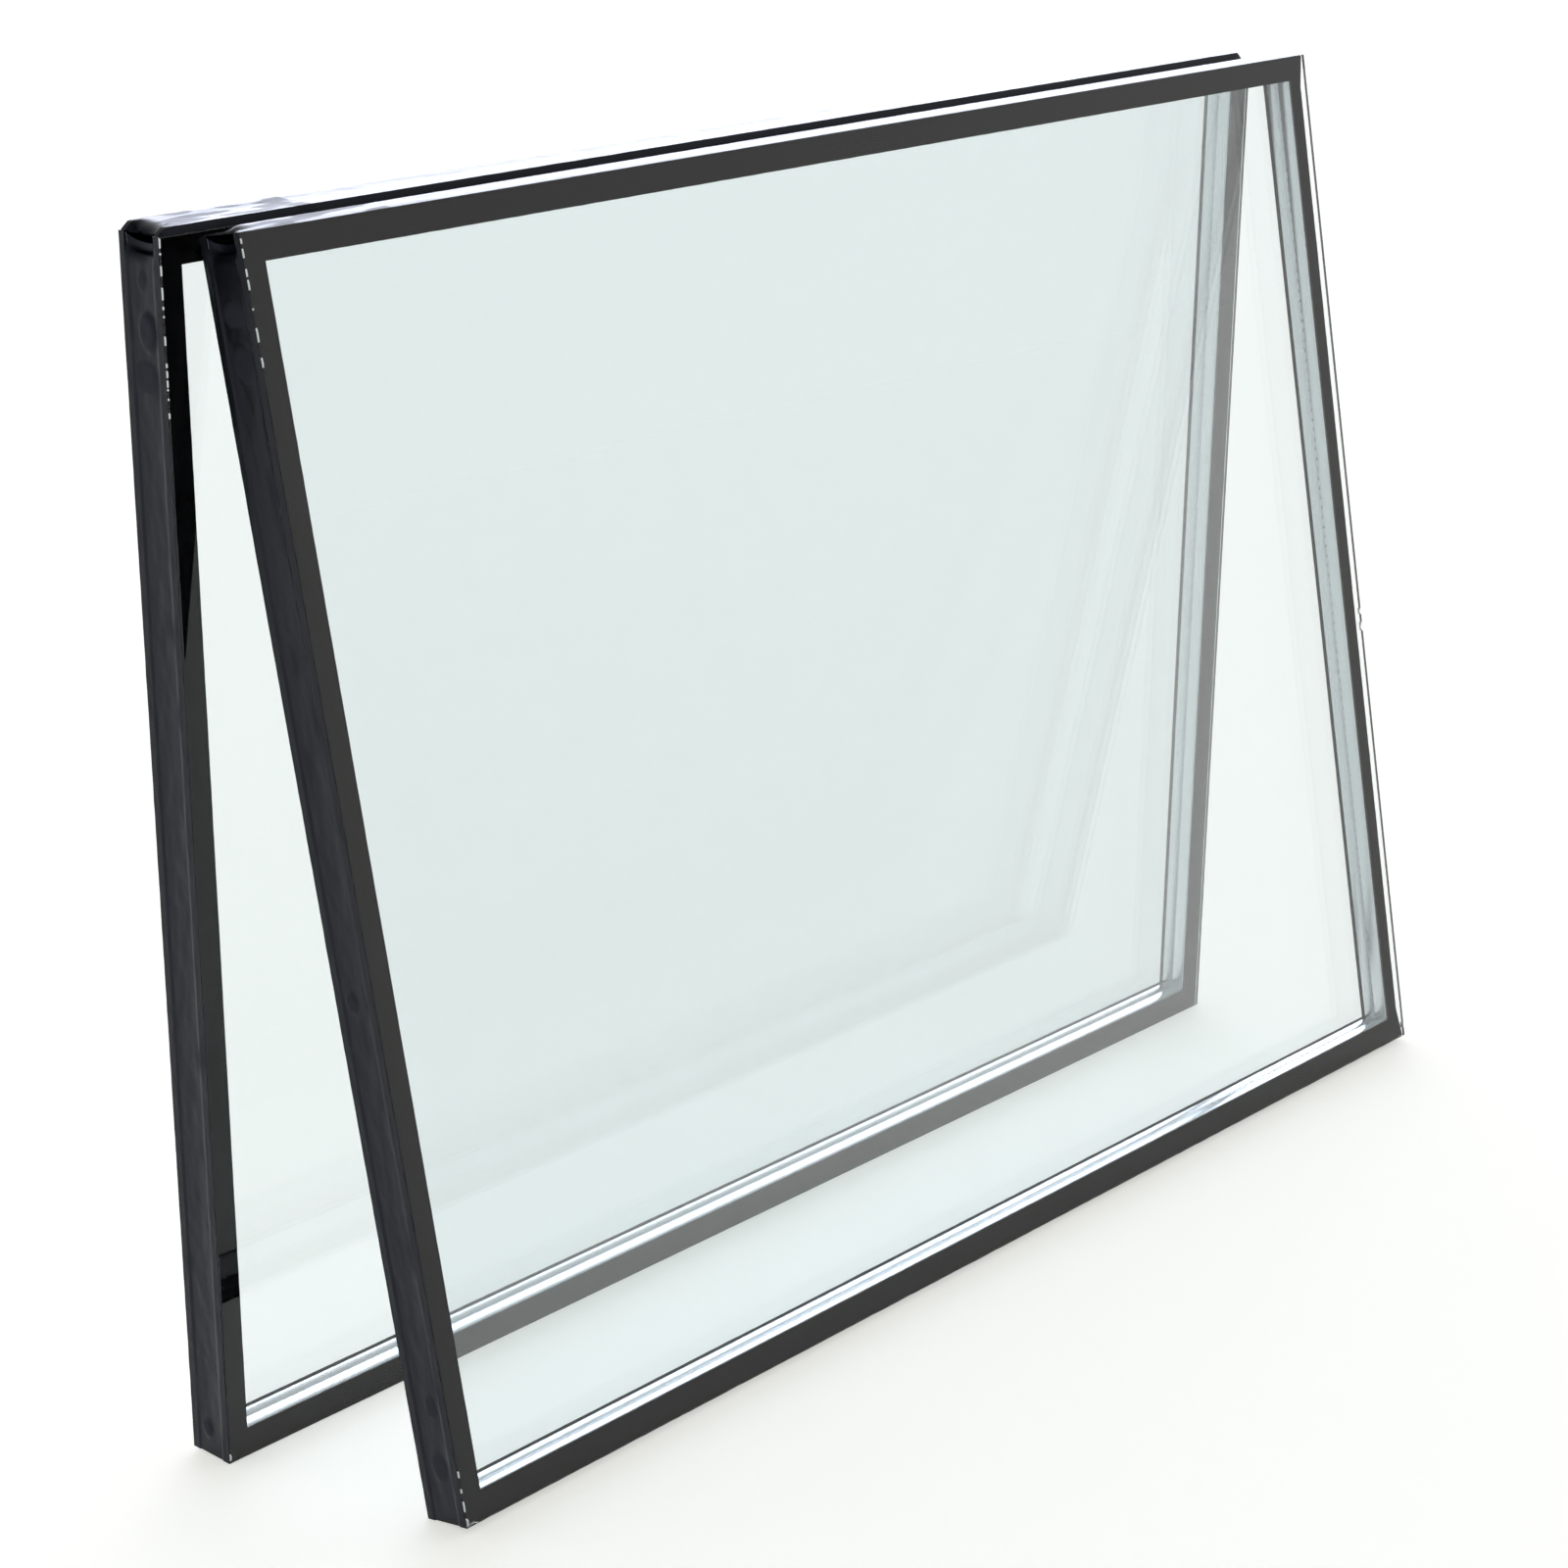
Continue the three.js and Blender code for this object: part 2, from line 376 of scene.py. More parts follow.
def make_rolled_aluminium():
    """Mill-finish roll-formed aluminium: soft bright reflections drawn out along the bar."""
    material = new_material("roll-formed aluminium")
    if material is None:
        return
    tree = material.node_tree
    place = add_node(tree, "ShaderNodeTexCoord")
    # Roller marks 1 mm across that run the whole bar, because they change only with depth
    stretch = add_node(tree, "ShaderNodeMapping", {
        "Vector": place.outputs["Object"],
        "Scale": (8.0, 1000.0, 8.0),
    })
    streaks = add_node(tree, "ShaderNodeTexNoise", {
        "Vector": stretch.outputs["Vector"],
        "Scale": 1.0,
        "Detail": 1.0,
    })
    gloss = add_node(tree, "ShaderNodeMapRange", {
        "Value": streaks.outputs["Fac"],
        "To Min": 0.22,
        "To Max": 0.30,
    })
    shader = add_node(tree, "ShaderNodeBsdfPrincipled", {
        "Base Color": linear(0xD6DADD),
        "Metallic": 1.0,
        "Roughness": gloss.outputs["Result"],
    })
    add_node(tree, "ShaderNodeOutputMaterial", {"Surface": shader.outputs["BSDF"]})


def make_slot_shadow():
    """Painted shade for the dark inside a slot punched in the bar: a flat grey face, with a dull
    burr.
    """
    material = new_material("punched slot")
    if material is None:
        return
    tree = material.node_tree
    # Painted shade: mid grey standing for the dark inside the slot
    shader = add_node(tree, "ShaderNodeBsdfPrincipled", {
        "Base Color": linear(0x808488),
        "Roughness": 0.7,
    })
    add_node(tree, "ShaderNodeOutputMaterial", {"Surface": shader.outputs["BSDF"]})


def make_edge_sealant():
    """Trowelled black two-part sealant: a glossy skin, dull where it was dragged."""
    material = new_material("trowelled black sealant")
    if material is None:
        return
    tree = material.node_tree
    place = add_node(tree, "ShaderNodeTexCoord")
    drag = add_node(tree, "ShaderNodeAttribute", attribute_name="drag")
    # Trowel ripples 9 mm apart, with pimples in the skin 1.6 mm apart
    ripples = add_node(tree, "ShaderNodeTexNoise", {
        "Vector": place.outputs["Object"],
        "Scale": 1 / (9 * MM),
        "Detail": 4.0,
        "Roughness": 0.55,
    })
    pimples = add_node(tree, "ShaderNodeTexNoise", {
        "Vector": place.outputs["Object"],
        "Scale": 1 / (1.6 * MM),
        "Detail": 2.0,
    })
    relief = add_node(tree, "ShaderNodeMath", {
        0: pimples.outputs["Fac"],
        1: 0.18,
        2: ripples.outputs["Fac"],
    }, operation="MULTIPLY_ADD")
    bump = add_node(tree, "ShaderNodeBump", {
        "Height": relief.outputs["Value"],
        "Strength": 0.35,
        "Distance": 0.25 * MM,
    })
    dull = add_node(tree, "ShaderNodeMapRange", {
        "Value": drag.outputs["Fac"],
        "To Min": 0.3,
        "To Max": 0.72,
    })
    colour = add_node(tree, "ShaderNodeMix", {
        "Factor": drag.outputs["Fac"],
        "A": linear(0x08090D),
        "B": linear(0x1D1F27),
    }, data_type="RGBA")
    shader = add_node(tree, "ShaderNodeBsdfPrincipled", {
        "Base Color": colour.outputs[2],
        "Roughness": dull.outputs["Result"],
        "IOR": 1.42,
        "Specular IOR Level": 0.34,
        "Specular Tint": linear(0xD8DFFC),
        "Normal": bump.outputs["Normal"],
    })
    add_node(tree, "ShaderNodeOutputMaterial", {"Surface": shader.outputs["BSDF"]})


def make_bonded_black(name, colour):
    """Black sealant or butyl wetted onto glass: no surface shine of its own, a flat deep tone."""
    material = new_material(name)
    if material is None:
        return
    tree = material.node_tree
    shader = add_node(tree, "ShaderNodeBsdfPrincipled", {
        "Base Color": linear(colour),
        "Roughness": 0.8,
        "Specular IOR Level": 0.0,
    })
    add_node(tree, "ShaderNodeOutputMaterial", {"Surface": shader.outputs["BSDF"]})


def make_corner_nylon():
    """Injection-moulded grey nylon with a fine matt grain."""
    material = new_material("moulded grey nylon")
    if material is None:
        return
    tree = material.node_tree
    place = add_node(tree, "ShaderNodeTexCoord")
    grain = add_node(tree, "ShaderNodeTexNoise", {
        "Vector": place.outputs["Object"],
        "Scale": 1 / (0.8 * MM),
        "Detail": 2.0,
    })
    bump = add_node(tree, "ShaderNodeBump", {
        "Height": grain.outputs["Fac"],
        "Strength": 0.2,
        "Distance": 0.05 * MM,
    })
    shader = add_node(tree, "ShaderNodeBsdfPrincipled", {
        "Base Color": linear(0x8F9396),
        "Roughness": 0.5,
        "Normal": bump.outputs["Normal"],
    })
    add_node(tree, "ShaderNodeOutputMaterial", {"Surface": shader.outputs["BSDF"]})


def make_desiccant():
    """Molecular sieve: 1 mm beige beads packed in the bar."""
    material = new_material("molecular sieve beads")
    if material is None:
        return
    tree = material.node_tree
    place = add_node(tree, "ShaderNodeTexCoord")
    beads = add_node(tree, "ShaderNodeTexVoronoi", {
        "Vector": place.outputs["Object"],
        "Scale": 1 / (1.0 * MM),
    })
    bump = add_node(tree, "ShaderNodeBump", {
        "Height": beads.outputs["Distance"],
        "Strength": 0.8,
        "Distance": 0.4 * MM,
    }, invert=True)
    shader = add_node(tree, "ShaderNodeBsdfPrincipled", {
        "Base Color": linear(0xD8CBB0),
        "Roughness": 0.85,
        "Normal": bump.outputs["Normal"],
    })
    add_node(tree, "ShaderNodeOutputMaterial", {"Surface": shader.outputs["BSDF"]})


def make_table(settings):
    """Opal acrylic shooting table: matt white, lit a little from below."""
    material = new_material("opal acrylic table")
    if material is None:
        return
    tree = material.node_tree
    shader = add_node(tree, "ShaderNodeBsdfPrincipled", {
        "Base Color": (*settings.table_colour, 1.0),
        "Roughness": 0.9,
        "Specular IOR Level": 0.1,
        "Emission Color": (1.0, 1.0, 0.955, 1.0),
        "Emission Strength": settings.table_glow,
    })
    add_node(tree, "ShaderNodeOutputMaterial", {"Surface": shader.outputs["BSDF"]})


# ---------------------------------------------------------------- stage


def make_room(settings, heading):
    """A white room with one wide cool softbox low on the far wall, which lights up level faces."""
    room = bpy.data.worlds.new("white room")
    room.use_nodes = True
    tree = room.node_tree
    tree.nodes.clear()
    look = add_node(tree, "ShaderNodeTexCoord")
    towards = add_node(tree, "ShaderNodeVectorMath", {
        0: look.outputs["Generated"],
        1: heading,
    }, operation="DOT_PRODUCT")
    height = add_node(tree, "ShaderNodeSeparateXYZ", {"Vector": look.outputs["Generated"]})
    across = add_node(tree, "ShaderNodeMapRange", {
        "Value": towards.outputs["Value"],
        "From Min": 0.80,
        "From Max": 0.92,
    }, interpolation_type="SMOOTHSTEP")
    low = add_node(tree, "ShaderNodeMapRange", {
        "Value": height.outputs["Z"],
        "From Min": 0.0,
        "From Max": 0.06,
    }, interpolation_type="SMOOTHSTEP")
    high = add_node(tree, "ShaderNodeMapRange", {
        "Value": height.outputs["Z"],
        "From Min": 0.60,
        "From Max": 0.45,
    }, interpolation_type="SMOOTHSTEP")
    band = add_node(tree, "ShaderNodeMath", {
        0: low.outputs["Result"],
        1: high.outputs["Result"],
    }, operation="MULTIPLY")
    softbox = add_node(tree, "ShaderNodeMath", {
        0: band.outputs["Value"],
        1: across.outputs["Result"],
    }, operation="MULTIPLY")
    # The upper part of the room is dimmer at the camera's end
    upper = add_node(tree, "ShaderNodeMapRange", {
        "Value": towards.outputs["Value"],
        "From Min": -0.20,
        "From Max": 0.35,
        "To Min": settings.sky_strength * settings.camera_end,
        "To Max": settings.sky_strength,
    })
    walls = add_node(tree, "ShaderNodeMapRange", {
        "Value": height.outputs["Z"],
        "From Min": 0.0,
        "From Max": 0.5,
        "To Min": settings.horizon_strength,
        "To Max": upper.outputs["Result"],
    })
    strength = add_node(tree, "ShaderNodeMath", {
        0: softbox.outputs["Value"],
        1: settings.back_light,
        2: walls.outputs["Result"],
    }, operation="MULTIPLY_ADD")
    colour = add_node(tree, "ShaderNodeMix", {
        "Factor": softbox.outputs["Value"],
        "A": linear(0xFFFFFD),
        "B": linear(0xEAEFFF),
    }, data_type="RGBA")
    background = add_node(tree, "ShaderNodeBackground", {
        "Color": colour.outputs[2],
        "Strength": strength.outputs["Value"],
    })
    add_node(tree, "ShaderNodeOutputWorld", {"Surface": background.outputs["Background"]})
    bpy.context.scene.world = room


class PAIR_OT_stage(bpy.types.Operator):
    """Set up the table, the white room, the low softbox and the camera"""

    bl_idname = "pair.stage"
    bl_label = "Stage"

    def execute(self, context):
        settings = context.scene.pair_stage
        make_table(settings)
        table = bpy.data.meshes.new("table")
        corners = [(x * TABLE_REACH, y * TABLE_REACH, 0)
                   for x, y in ((-1, -1), (1, -1), (1, 1), (-1, 1))]
        table.from_pydata(corners, [], [(0, 1, 2, 3)])
        table.materials.append(bpy.data.materials["opal acrylic table"])
        top = bpy.data.objects.new("table", table)
        context.scene.collection.objects.link(top)

        heading = Vector((math.sin(settings.camera_azimuth), math.cos(settings.camera_azimuth), 0))
        make_room(settings, heading)
        dip = settings.camera_dip
        sight = heading * math.cos(dip) - Vector((0, 0, math.sin(dip)))
        right = sight.cross(Vector((0, 0, 1))).normalized()
        up = right.cross(sight)
        roll = settings.camera_roll
        turned_right = math.cos(roll) * right + math.sin(roll) * up
        turned_up = math.cos(roll) * up - math.sin(roll) * right
        turn = Matrix((turned_right, turned_up, -sight)).transposed()
        camera = bpy.data.cameras.new("camera")
        camera.sensor_width = SENSOR_WIDTH
        camera.lens = settings.lens
        camera.shift_y = LENS_SHIFT
        camera.clip_start = 0.01
        camera.clip_end = 200.0
        holder = bpy.data.objects.new("camera", camera)
        holder.matrix_world = Matrix.Translation(settings.camera_place) @ turn.to_4x4()
        context.scene.collection.objects.link(holder)
        context.scene.camera = holder
        context.scene.view_settings.view_transform = "Standard"
        cycles = context.scene.cycles
        cycles.max_bounces = 32
        cycles.transmission_bounces = 24
        cycles.glossy_bounces = 12
        cycles.transparent_max_bounces = 32
        return {"FINISHED"}


# ---------------------------------------------------------------- panes

# Chips by pane and side: middle along the side, length, how far in, and the face it broke from
CHIPS = {
    "front_unit_pane_front": [
        ("left", -252.6, 3.6, 0.9, "front"), ("bottom", -336.5, 5.0, 0.7, "front"),
        ("right", -26.0, 3.5, 1.5, "front"), ("right", -34.0, 5.0, 1.8, "front"),
        ("right", -249.5, 3.5, 1.0, "rear"),
    ],
    "front_unit_pane_rear": [("left", 252.5, 4.0, 1.0, "rear"), ("top", -318.0, 6.0, 0.6, "rear")],
    "back_unit_pane_front": [("left", -252.0, 3.0, 0.5, "front")],
    "back_unit_pane_rear": [("left", 252.0, 5.0, 1.2, "rear"), ("right", 251.0, 3.0, 0.8, "rear")],
}

# Stretches of arris nibbled by handling: pane, side, where they start and end, and a seed
NIBBLED = [
    ("front_unit_pane_front", "left", 206.0, 254.0, 5),
    ("front_unit_pane_front", "left", -248.0, -228.0, 6),
    ("back_unit_pane_front", "left", 188.0, 254.0, 7),
]

# Least and most length and depth of a nibble, and distance to the next one
NIBBLE_LENGTH = (0.5, 5.5)
NIBBLE_DEPTH = (0.06, 0.2)
NIBBLE_GAP = (0.3, 7.0)

# Share of a chip's depth on the face that it didn't break from, and how far its floor is uneven
FAR_FACE_SHARE = 0.25
CHIP_FLOOR = (0.65, 1.0)

# Loss of glass below which the edge still counts as whole
LEAST_LOSS = 0.01


def nibbles(side, start, end, seed):
    """Small shallow chips at uneven distances along a stretch of arris."""
    uneven = random.Random(seed)
    chips = []
    along = start
    while along < end:
        length = uneven.uniform(*NIBBLE_LENGTH)
        chips.append((side, along + length / 2, length, uneven.uniform(*NIBBLE_DEPTH), "front"))
        along += length + uneven.uniform(*NIBBLE_GAP)
    return chips


def edge_stops(side, chips, step, chip_step):
    """Distances along one side where the cut edge has a point."""
    half = side_length(side) / 2
    count = max(2, round(2 * half / step))
    stops = {round(-half + 2 * half * i / count, 3) for i in range(count + 1)}
    for chip_side, middle, length, _, _ in chips:
        if chip_side == side:
            steps = max(4, round(length / chip_step))
            for i in range(steps + 1):
                stop = middle - length / 2 + length * i / steps
                if abs(stop) < half - 0.05:
                    stops.add(round(stop, 3))
    return sorted(stops)


def chip_loss(side, along, face, chips, roughen):
    """How much glass is broken away at a place on the edge, towards the given face."""
    loss = 0.0
    for chip_side, middle, length, depth, chip_face in chips:
        offset = abs(along - middle) / (length / 2)
        if chip_side == side and offset < 1:
            share = 1.0 if chip_face == face else FAR_FACE_SHARE
            floor = roughen.uniform(*CHIP_FLOOR)
            loss = max(loss, depth * share * (1 - offset * offset) * floor)
    return loss


def pane_mesh(near_face, chips, settings):
    """One pane: two polished faces, a ground arris round each, and its chips."""
    step = settings.edge_step / MM
    chip_step = settings.chip_step / MM
    roughen = random.Random(len(chips) + near_face)
    mesh_data = bmesh.new()
    levels = ((0.0, ARRIS, "front"), (ARRIS, 0.0, "front"),
              (PANE - ARRIS, 0.0, "rear"), (PANE, ARRIS, "rear"))
    rings = [[] for _ in levels]
    broken = []
    for side, order in (("bottom", 1), ("right", 1), ("top", -1), ("left", -1)):
        stops = edge_stops(side, chips, step, chip_step)[::order]
        for along in stops[:-1]:
            losses = [chip_loss(side, along, face, chips, roughen) for _, _, face in levels]
            broken.append(max(losses) > LEAST_LOSS)
            for ring, (level, inset, _), loss in zip(rings, levels, losses):
                inward = inset + loss
                half = side_length(side) / 2 - inset
                held = max(-half, min(half, along))
                point = on_side(side, held, near_face + level, inward)
                ring.append(mesh_data.verts.new(point))
    count = len(rings[0])
    for first, second in zip(rings, rings[1:]):
        for i in range(count):
            j = (i + 1) % count
            face = mesh_data.faces.new((first[i], first[j], second[j], second[i]))
            face.material_index = 1 if broken[i] or broken[j] else 0
    mesh_data.faces.new(rings[0])
    mesh_data.faces.new(rings[-1])
    return mesh_data


class PAIR_OT_panes(bpy.types.Operator):
    """Cut the four panes of float glass, with their seamed edges and chips"""

    bl_idname = "pair.panes"
    bl_label = "Panes"

    def execute(self, context):
        make_float_glass()
        make_chipped_glass()
        settings = context.scene.pair_glass
        chips = {node: list(own) for node, own in CHIPS.items()}
        for node, side, start, end, seed in NIBBLED:
            chips[node] += nibbles(side, start, end, seed)
        for unit in UNITS:
            for place, near_face in (("front", 0.0), ("rear", DEPTH - PANE)):
                node = f"{unit}_pane_{place}"
                mesh_data = pane_mesh(near_face, chips[node], settings)
                finishes = ("clear float glass", "chipped float glass")
                piece = finish_piece(f"{node}_glass", mesh_data, unit, finishes)
                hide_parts(node)
        return {"FINISHED"}


# ---------------------------------------------------------------- spacer frame

# Quarter-round steps of a bar's bends, and share of the seam's width that its floor takes
BEND_STEPS = 4
SEAM_FLOOR = 0.4


def bar_outline(settings, shrink):
    """Section of a spacer bar as depth from the middle and distance in from the glass edge."""
    radius = settings.corner_radius / MM - shrink
    half = SPACER_HALF - shrink
    flat = SIGHT_LINE - shrink
    seam = settings.seam_width / MM / 2
    dip = settings.seam_depth / MM
    crown = SEALANT_DEPTH + shrink
    crown_half = CROWN_HALF - shrink
    right = [(crown_half, crown), (half, SHOULDER)]
    for i in range(BEND_STEPS + 1):
        angle = math.pi / 2 * i / BEND_STEPS
        across = half - radius + radius * math.cos(angle)
        inward = flat - radius + radius * math.sin(angle)
        right.append((across, inward))
    right += [(seam, flat), (seam * SEAM_FLOOR, flat - dip)]
    left = [(-across, inward) for across, inward in reversed(right)]
    return right + left


def bar_mesh(side, settings):
    """A hollow bar with mitred ends."""
    half = side_length(side) / 2
    outlines = [bar_outline(settings, 0.0), bar_outline(settings, SPACER_WALL)]
    mesh_data = bmesh.new()
    ends = []
    for end in (-1, 1):
        for outline in outlines:
            ring = []
            for across, inward in outline:
                along = end * (half - inward - MITRE_GAP)
                ring.append(mesh_data.verts.new(on_side(side, along, MIDDLE + across, inward)))
            ends.append(ring)
    outer_start, inner_start, outer_end, inner_end = ends
    count = len(outer_start)
    for first, second in ((outer_start, outer_end), (outer_end, inner_end),
                          (inner_end, inner_start), (inner_start, outer_start)):
        for i in range(count):
            j = (i + 1) % count
            mesh_data.faces.new((first[i], first[j], second[j], second[i]))
    return mesh_data


class PAIR_OT_spacers(bpy.types.Operator):
    """Roll the eight aluminium spacer bars"""

    bl_idname = "pair.spacers"
    bl_label = "Spacer bars"

    def execute(self, context):
        make_rolled_aluminium()
        settings = context.scene.pair_spacer
        for unit in UNITS:
            for side in SIDES:
                mesh_data = bar_mesh(side, settings)
                finishes = ("roll-formed aluminium",)
                name = f"{unit}_spacer_{side}_rolled"
                piece = finish_piece(name, mesh_data, unit, finishes, math.radians(35))
                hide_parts(f"{unit}_spacer_{side}")
        return {"FINISHED"}


# Depth of the flat face that carries a breathing slot's painted shade, and how far from a corner
# the slots begin
SLOT_DEPTH = 0.06
SLOT_START = 8.0


def slot_tree(material):
    """Geometry Nodes: two rows of breathing slots along a straight edge, as plain faces of painted
    shade, not holes.
    """
    tree = bpy.data.node_groups.new("breathing slots", "GeometryNodeTree")
    interface = tree.interface
    interface.new_socket("Edges", in_out="INPUT", socket_type="NodeSocketGeometry")
    for name in ("Pitch", "Slot Length", "Slot Width", "Slot Depth", "Row Distance"):
        socket = interface.new_socket(name, in_out="INPUT", socket_type="NodeSocketFloat")
        socket.subtype = "DISTANCE"
    interface.new_socket("Slots", in_out="OUTPUT", socket_type="NodeSocketGeometry")
    start = add_node(tree, "NodeGroupInput")
    curve = add_node(tree, "GeometryNodeMeshToCurve", {"Mesh": start.outputs["Edges"]})
    points = add_node(tree, "GeometryNodeCurveToPoints", {
        "Curve": curve.outputs["Curve"],
        "Length": start.outputs["Pitch"],
    }, mode="LENGTH")
    inside = add_node(tree, "GeometryNodeInputNamedAttribute", {"Name": "inward"},
                      data_type="FLOAT_VECTOR")
    turn = add_node(tree, "FunctionNodeAxesToRotation", {
        "Primary Axis": points.outputs["Tangent"],
        "Secondary Axis": inside.outputs["Attribute"],
    }, primary_axis="X", secondary_axis="Z")
    size = add_node(tree, "ShaderNodeCombineXYZ", {
        "X": start.outputs["Slot Length"],
        "Y": start.outputs["Slot Width"],
        "Z": start.outputs["Slot Depth"],
    })
    punch = add_node(tree, "GeometryNodeMeshCylinder", {
        "Vertices": 8,
        "Radius": 0.5,
        "Depth": 1.0,
    })
    rows = []
    for direction in (-1.0, 1.0):
        shift = add_node(tree, "ShaderNodeMath", {
            0: start.outputs["Row Distance"],
            1: direction,
        }, operation="MULTIPLY")
        offset = add_node(tree, "ShaderNodeCombineXYZ", {"Y": shift.outputs["Value"]})
        placed = add_node(tree, "GeometryNodeInstanceOnPoints", {
            "Points": points.outputs["Points"],
            "Instance": punch.outputs["Mesh"],
            "Rotation": turn.outputs["Rotation"],
            "Scale": size.outputs["Vector"],
        })
        moved = add_node(tree, "GeometryNodeTranslateInstances", {
            "Instances": placed.outputs["Instances"],
            "Translation": offset.outputs["Vector"],
            "Local Space": True,
        })
        rows.append(moved.outputs["Instances"])
    both = add_node(tree, "GeometryNodeJoinGeometry")
    for row in rows:
        tree.links.new(row, both.inputs["Geometry"])
    plain = add_node(tree, "GeometryNodeRealizeInstances", {"Geometry": both.outputs["Geometry"]})
    dressed = add_node(tree, "GeometryNodeSetMaterial", {
        "Geometry": plain.outputs["Geometry"],
        "Material": material,
    })
    add_node(tree, "NodeGroupOutput", {"Slots": dressed.outputs["Geometry"]})
    return tree


class PAIR_OT_slots(bpy.types.Operator):
    """Lay the rows of breathing slots on the spacer bars as flat faces of painted shade"""

    bl_idname = "pair.slots"
    bl_label = "Breathing slots"

    def execute(self, context):
        make_slot_shadow()
        settings = context.scene.pair_spacer
        material = bpy.data.materials["punched slot"]
        tree = slot_tree(material)
        sockets = {item.name: item.identifier for item in tree.interface.items_tree
                   if item.in_out == "INPUT"}
        for unit in UNITS:
            place = seat(unit)
            ends = []
            normals = []
            for side in SIDES:
                reach = side_length(side) / 2 - SIGHT_LINE - SLOT_START
                inward = on_side(side, 0, 0, 1) - on_side(side, 0, 0, 0)
                for end in (-1, 1):
                    ends.append(place @ on_side(side, end * reach, MIDDLE, SIGHT_LINE))
                    normals.append((place.to_3x3() @ inward).normalized())
            lines = bpy.data.meshes.new(f"{unit}_slot_lines")
            lines.from_pydata(ends, [(i, i + 1) for i in range(0, len(ends), 2)], [])
            attribute = lines.attributes.new("inward", "FLOAT_VECTOR", "POINT")
            attribute.data.foreach_set("vector", [value for normal in normals for value in normal])
            guide = bpy.data.objects.new(f"{unit}_slot_lines", lines)
            context.scene.collection.objects.link(guide)
            modifier = guide.modifiers.new("slots", "NODES")
            modifier.node_group = tree
            sizes = {
                "Pitch": settings.slot_pitch,
                "Slot Length": settings.slot_length,
                "Slot Width": settings.slot_width,
                "Slot Depth": SLOT_DEPTH * MM,
                "Row Distance": settings.slot_row,
            }
            for name, value in sizes.items():
                modifier[sockets[name]] = value
            context.view_layer.update()
            evaluated = guide.evaluated_get(context.evaluated_depsgraph_get())
            mesh = bpy.data.meshes.new_from_object(evaluated)
            if not mesh.polygons:
                raise RuntimeError("the breathing slots came out empty")
            mesh.name = f"{unit}_spacer_slots"
            bpy.data.objects.remove(guide)
            piece = bpy.data.objects.new(f"{unit}_spacer_slots", mesh)
            context.scene.collection.objects.link(piece)
            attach(piece, unit)
        return {"FINISHED"}


# ---------------------------------------------------------------- butyl

# How far the butyl is squeezed past the sight line at each pane, and how much less at the bar
SQUEEZED_OUT = {"front": 0.1, "rear": 0.55}
BEAD_SLOPE = 0.1

# Spacing of the sections along a bead, length of its waves, and length over which they die out
BEAD_STEP = 4.0
BEAD_WAVE_LENGTH = 7.0
BEAD_END = 20.0


def bead_mesh(place, settings):
    """A flat ring of butyl whose inner edge waves a little."""
    inner = SIGHT_LINE + SQUEEZED_OUT[place]
    outer = SHOULDER
    wave = settings.bead_wave / MM
    if place == "front":
        near = PANE - WETTED
        far = PANE + BOND_GAP + BUTYL_THICKNESS
    else:
        near = DEPTH - PANE + WETTED
        far = DEPTH - PANE - BOND_GAP - BUTYL_THICKNESS
    sections = []
    for side, order in (("bottom", 1), ("right", 1), ("top", -1), ("left", -1)):
        half = side_length(side) / 2
        count = round(2 * half / BEAD_STEP)
        for i in range(count):
            share = order * (2 * i / count - 1)
            wave_place = share * half / BEAD_WAVE_LENGTH
            ripple = wave * wobble(wave_place, near, SIDES.index(side) * 9.1, settings.seed)
            ends = min(1.0, (1 - abs(share)) * half / BEAD_END)
            section = []
            for across, inward in ((near, outer), (near, inner + ripple * ends),
                                   (far, inner + ripple * ends - BEAD_SLOPE), (far, outer)):
                section.append(on_side(side, share * (half - inward), across, inward))
            sections.append(section)
    return sweep(sections, closed=True)


class PAIR_OT_butyl(bpy.types.Operator):
    """Lay the four butyl beads between the spacer frames and the glass"""

    bl_idname = "pair.butyl"
    bl_label = "Butyl beads"

    def execute(self, context):
        make_bonded_black("pressed black butyl", 0x0B0B0D)
        settings = context.scene.pair_sealant
        for unit in UNITS:
            for place in ("front", "rear"):
                node = f"{unit}_butyl_{place}"
                mesh_data = bead_mesh(place, settings)
                finishes = ("pressed black butyl",)
                piece = finish_piece(f"{node}_bead", mesh_data, unit, finishes)
                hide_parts(node)
        return {"FINISHED"}


# ---------------------------------------------------------------- sealant

# Corners where the sealant of both units was pulled back round a thumb, by side and end
ROUNDED = {("left", 1), ("top", -1)}

# Runs that were left short of the glass edge, by unit and side, with how far
UNDERFILLED = {("front_unit", "right"): 3.2}

# Runs that were overfilled, with how far they stand proud and over what width they rise
OVERFILLED = {("front_unit", "top"): (2.9, 11.0), ("back_unit", "top"): (3.2, 0.75)}

# Dabs of spare sealant on the outer faces: unit, side, along, depth, length, width, height
DABS = [
    ("back_unit", "left", 219.0, 10.0, 15.0, 10.0, 1.2),
    ("back_unit", "left", 202.0, 12.5, 13.0, 13.0, 0.3),
    ("back_unit", "left", 238.0, 12.0, 7.0, 5.0, 0.3),
    ("back_unit", "left", -243.0, 14.0, 8.0, 6.0, 0.6),
    ("front_unit", "left", 226.0, 12.0, 9.0, 12.0, 0.5),
    ("front_unit", "left", 208.0, 11.0, 14.0, 12.0, 0.6),
    ("front_unit", "left", -38.0, 14.0, 9.0, 6.0, 0.4),
    ("front_unit", "left", -205.0, 10.0, 10.0, 7.0, 0.25),
    ("front_unit", "left", -231.0, 11.0, 12.0, 9.0, 0.3),
]

# Unevenness of the skin, each as its height, its length along the run and its width across it
WAVES = (0.16, 11.0, 4.0)
TOP_WAVES = (0.09, 11.0, 4.0)
PITS = (0.05, 2.5, 2.0)
FILM_PATCHES = (0.7, 6.0, 2.0)

# How far in from the glass edge the skin lies before it dips between the panes
SKIN_LEVEL = 0.12

